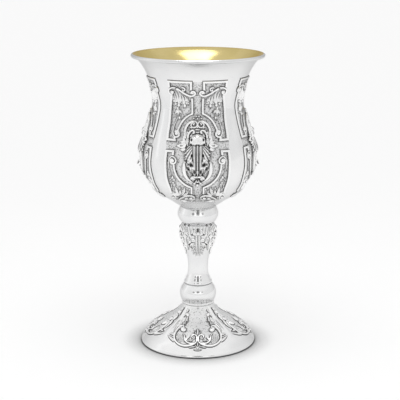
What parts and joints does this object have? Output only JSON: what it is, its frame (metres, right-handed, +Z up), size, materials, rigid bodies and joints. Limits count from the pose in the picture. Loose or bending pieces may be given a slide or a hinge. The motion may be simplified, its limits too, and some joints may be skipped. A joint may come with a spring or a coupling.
{
  "type": "elijah cup",
  "caption": "Footed silver ceremonial goblet with a chased bell-shaped bowl, gilt inside, applied openwork mounts, an acanthus baluster stem and a domed foot, for holding wine.",
  "frame": {"origin": "centre of the foot's rest, on the surface the cup stands on", "axes": "+Z up the cup's axis to the mouth; -Y out of the middle of the front panel; +X to the right of it"},
  "size_m": [0.094, 0.094, 0.21],
  "materials": {
    "silver": "polished sterling silver, darkened by oxidation in the chased recesses, gilt inside the bowl",
    "cast_silver": "cast sterling silver, polished on the high parts and oxidised in the recesses"
  },
  "bodies": {
    "root": {"bowl": "silver", "upper_knop": "silver", "baluster": "silver", "lower_knop": "silver", "foot": "silver", "mount_front": "cast_silver", "mount_right": "cast_silver", "mount_back": "cast_silver", "mount_left": "cast_silver"}
  },
  "joints": []
}
